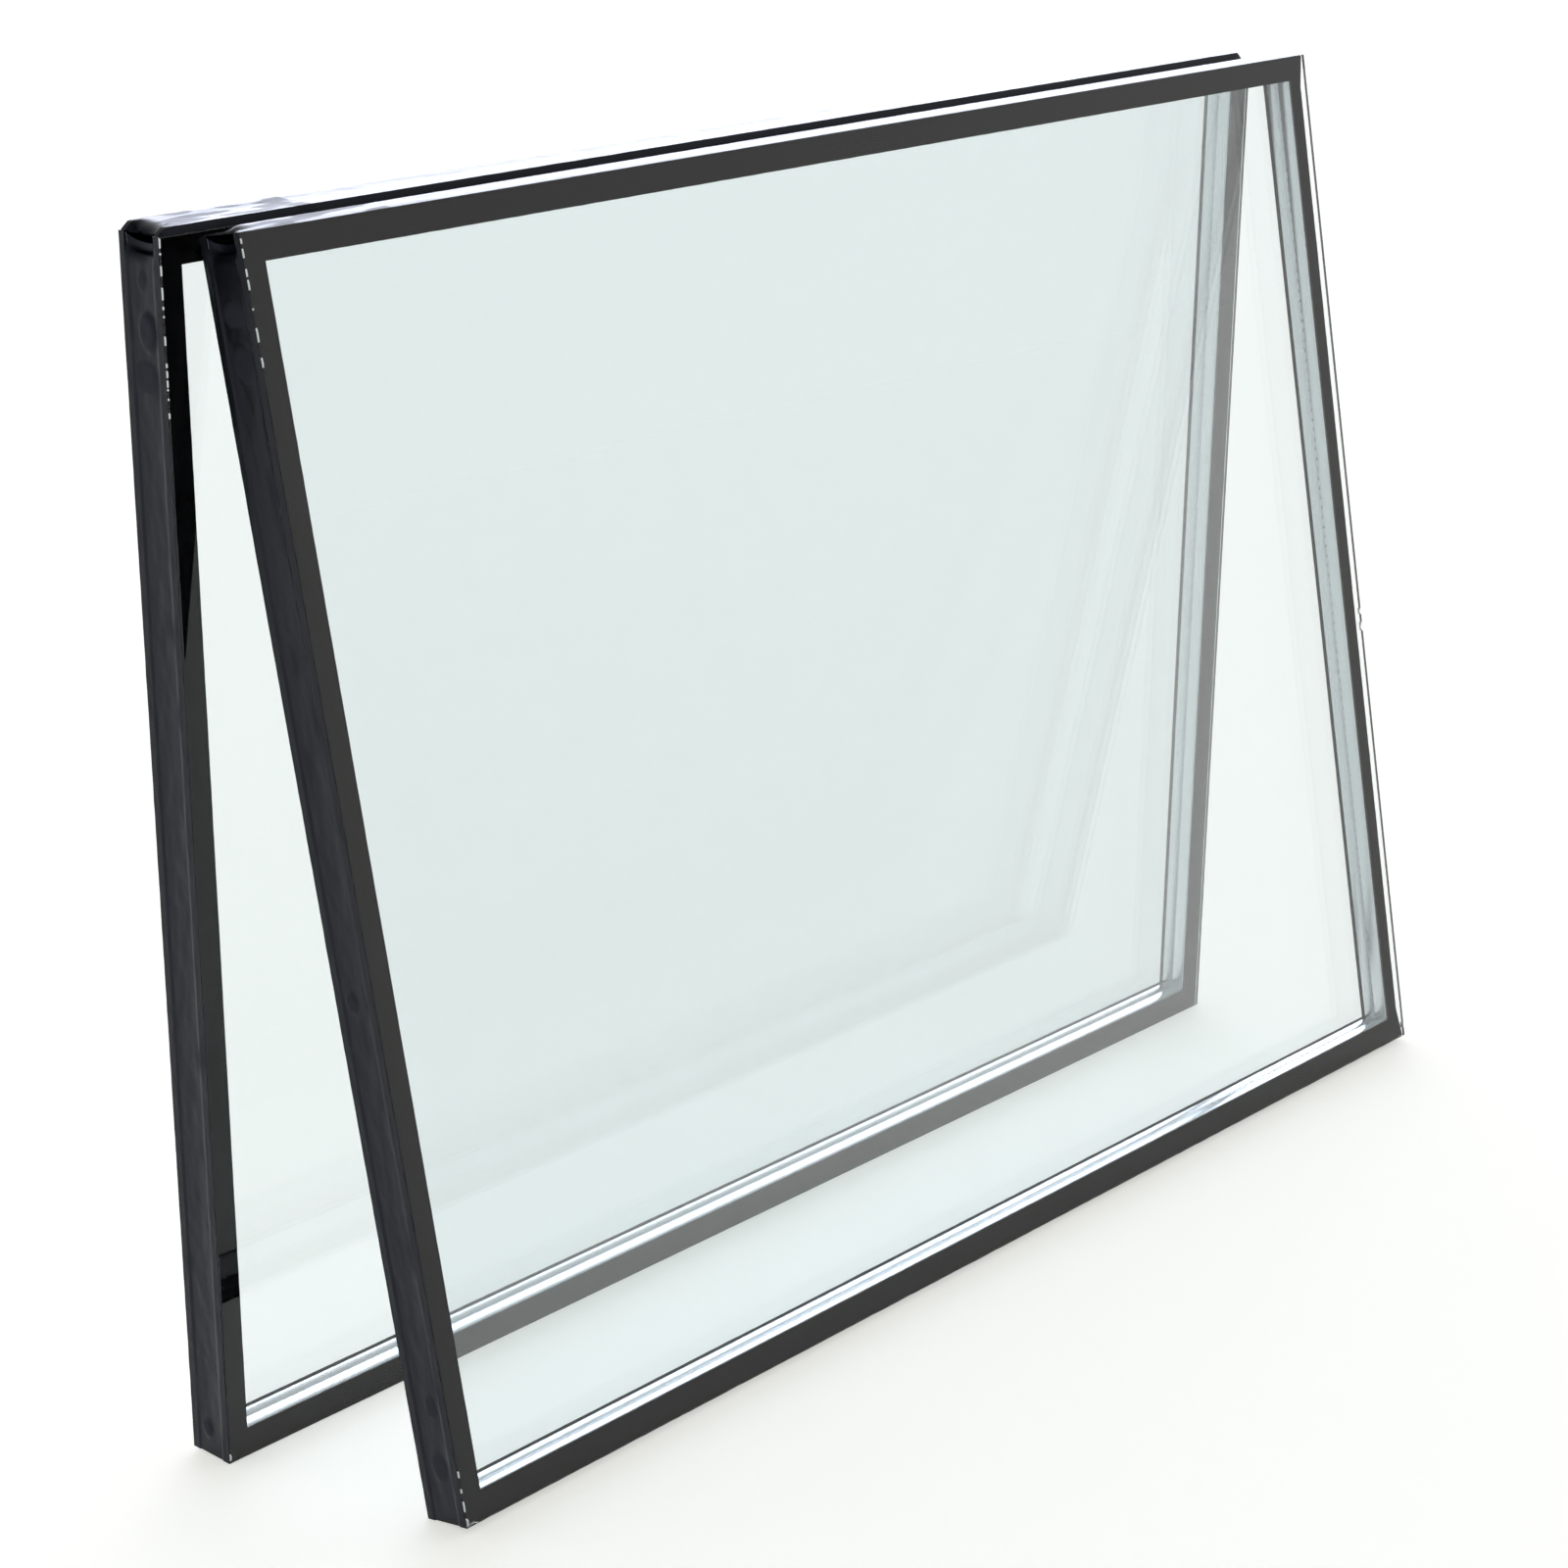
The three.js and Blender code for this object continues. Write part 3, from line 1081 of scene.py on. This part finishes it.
# How far from the middle the dragged film reaches, and how far it laps over the fill
FILM_REACH = 11.55
FILM_LAP = 0.6

# Lengths at both ends of a run over which it evens out, and over which it rises if overfilled
EVEN_END = 12.0
RISING_END = 4.0

# Sections' points across the skin of a run with a film and of one without
FILMED_COLUMNS = 31
BARE_COLUMNS = 21

# Dullness: seed of the patches by unit, most of it by place, and length of top that is smeared
SMEAR_SEEDS = {"front_unit": 3, "back_unit": 8}
MOST_DULL = {"dab": 0.85, "left": 0.7, "top": 0.35, "other": 0.5}
SMEARED_TOP = 75.0


def dabs_at(unit, side, along, depth):
    """For each dab over a place, how far it is from the middle, 1 at the rim, and the height."""
    found = []
    for dab_unit, dab_side, at, middle, length, width, height in DABS:
        if dab_unit == unit and dab_side == side:
            away = math.hypot((along - at) / (length / 2), (depth - middle) / (width / 2))
            if away < 1:
                found.append((away, height))
    return found


def smear_at(unit, side, along, depth):
    """How much the skin was dragged at a place, 0 where it cured glossy and 1 where it is dull."""
    patch = wobble(along / 16, depth / 5, SIDES.index(side) * 4.3, SMEAR_SEEDS[unit])
    if side == "top":
        from_left = along + side_length(side) / 2
        if from_left >= SMEARED_TOP:
            return 0.0
        return max(0.0, min(MOST_DULL["top"], 3.2 * (patch + 0.22 - from_left / 260)))
    if dabs_at(unit, side, along, depth):
        return MOST_DULL["dab"]
    if side == "left":
        return max(0.0, min(MOST_DULL["left"], 1.1 * (patch - 0.05)))
    return max(0.0, min(MOST_DULL["other"], patch))


def unevenness(kind, along, across, layer, seed):
    """Height of one kind of unevenness at a place on the skin."""
    height, length, width = kind
    return height * wobble(along / length, across / width, layer, seed)


def skin_at(unit, side, along, across, settings):
    """How far in from the glass edge the skin lies at a place, below 0 where it stands proud."""
    half = side_length(side) / 2
    to_end = half - abs(along)
    seed = settings.seed + SIDES.index(side) + (0 if unit == "front_unit" else 20)
    bumps = unevenness(TOP_WAVES if side == "top" else WAVES, along, across, 0.0, seed)
    bumps += unevenness(PITS, along, across, 5.0, seed)
    between = max(0.0, 1 - (across / CAVITY_HALF) ** 2)
    short_fill = UNDERFILLED.get((unit, side), 0.0)
    settled = min(1.0, to_end / EVEN_END)
    inward = SKIN_LEVEL + (settings.hollow / MM * between + bumps + short_fill) * settled
    if (unit, side) in OVERFILLED:
        proud, rise = OVERFILLED[unit, side]
        inward -= proud * min(1.0, (FILM_REACH - abs(across)) / rise, to_end / RISING_END)
    elif side != "right" and abs(across) > CAVITY_HALF - FILM_LAP:
        patches = unevenness(FILM_PATCHES, along, across, 9.0, seed)
        inward = -settings.film / MM * (1 + patches)
    rounding = settings.corner_round / MM
    for end in (-1, 1):
        short = rounding - (half - end * along)
        if (side, end) in ROUNDED and short > 0 and abs(across) < CAVITY_HALF:
            lost = rounding - math.sqrt(rounding ** 2 - short ** 2)
            inward += min(settings.corner_loss / MM, lost) * between ** 0.35
    for away, height in dabs_at(unit, side, along, across + MIDDLE):
        inward -= height * (1 - away ** 6) * (0.75 + 0.25 * away)
    return inward


def run_mesh(unit, side, settings):
    """One run of sealant between the panes, with a film of it dragged over the cut edges."""
    half = side_length(side) / 2
    bonded = CAVITY_HALF + WETTED
    filmed = side != "right"
    reach = FILM_REACH if filmed else bonded
    columns = FILMED_COLUMNS if filmed else BARE_COLUMNS
    root = [
        (bonded, SHOULDER),
        (SPACER_HALF + BOND_GAP, SHOULDER),
        (CROWN_HALF + BOND_GAP, SEALANT_DEPTH - BOND_GAP),
        (-CROWN_HALF - BOND_GAP, SEALANT_DEPTH - BOND_GAP),
        (-SPACER_HALF - BOND_GAP, SHOULDER),
        (-bonded, SHOULDER),
    ]
    if filmed:
        root = [(reach, WETTED), (bonded, WETTED), *root, (-bonded, WETTED), (-reach, WETTED)]
    count = round(2 * half / (settings.step / MM))
    sections = []
    smears = []
    for i in range(count + 1):
        share = 2 * i / count - 1
        along = share * half
        skin = []
        for k in range(columns):
            across = reach * (2 * k / (columns - 1) - 1)
            skin.append((across, skin_at(unit, side, along, across, settings)))
            smears.append(smear_at(unit, side, along, across + MIDDLE))
        smears += [0.0] * len(root)
        sections.append([
            on_side(side, share * (half - max(inward, 0.0)), MIDDLE + across, inward)
            for across, inward in skin + root
        ])
    mesh_data = sweep(sections)
    drag = mesh_data.verts.layers.float.new("drag")
    for vertex, amount in zip(mesh_data.verts, smears):
        vertex[drag] = amount
    mesh_data.verts.index_update()
    per_ring = len(sections[0])
    for face in mesh_data.faces:
        places = [vertex.index % per_ring for vertex in face.verts]
        on_skin = len(places) == 4 and max(places) < columns
        face.material_index = 0 if on_skin else 1
    return mesh_data


class PAIR_OT_sealant(bpy.types.Operator):
    """Trowel the black sealant round the outer edge of both units"""

    bl_idname = "pair.sealant"
    bl_label = "Edge sealant"

    def execute(self, context):
        make_edge_sealant()
        make_bonded_black("bonded black sealant", 0x0A0A0D)
        settings = context.scene.pair_sealant
        for unit in UNITS:
            for side in SIDES:
                mesh_data = run_mesh(unit, side, settings)
                finishes = ("trowelled black sealant", "bonded black sealant")
                name = f"{unit}_sealant_{side}_run"
                piece = finish_piece(name, mesh_data, unit, finishes, math.radians(50))
                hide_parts(f"{unit}_sealant_{side}")
        return {"FINISHED"}


# ---------------------------------------------------------------- hidden pieces


class PAIR_OT_hidden(bpy.types.Operator):
    """Give the corner keys and the desiccant inside the bars their materials"""

    bl_idname = "pair.hidden"
    bl_label = "Keys and desiccant"

    def execute(self, context):
        make_corner_nylon()
        make_desiccant()
        finishes = {"key": "moulded grey nylon", "desiccant": "molecular sieve beads"}
        for unit in UNITS:
            for start, finish in finishes.items():
                for name in body_nodes(unit, start):
                    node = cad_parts[name]
                    node.data.materials.clear()
                    node.data.materials.append(bpy.data.materials[finish])
        return {"FINISHED"}


# ---------------------------------------------------------------- sidebar


class PAIR_PT_sidebar(bpy.types.Panel):
    """Lists the steps and their settings"""

    bl_label = "Glass Pair"
    bl_idname = "PAIR_PT_sidebar"
    bl_space_type = "VIEW_3D"
    bl_region_type = "UI"
    bl_category = "Glass Pair"

    def draw(self, context):
        layout = self.layout
        for operator in STEPS:
            layout.operator(operator.bl_idname)
        for holder, group in SETTINGS.items():
            box = layout.box()
            box.label(text=group.__doc__)
            for name in group.__annotations__:
                box.prop(getattr(context.scene, holder), name)


STEPS = (PAIR_OT_stage, PAIR_OT_panes, PAIR_OT_spacers, PAIR_OT_slots, PAIR_OT_butyl,
         PAIR_OT_sealant, PAIR_OT_hidden)
CLASSES = (*SETTINGS.values(), *STEPS, PAIR_PT_sidebar)


def register():
    for item in CLASSES:
        bpy.utils.register_class(item)
    for holder, group in SETTINGS.items():
        setattr(bpy.types.Scene, holder, PointerProperty(type=group))


def unregister():
    for holder in SETTINGS:
        delattr(bpy.types.Scene, holder)
    for item in reversed(CLASSES):
        bpy.utils.unregister_class(item)


def main():
    register()
    for operator in STEPS:
        group, step = operator.bl_idname.split(".")
        getattr(getattr(bpy.ops, group), step)()


if __name__ == "__main__":
    main()
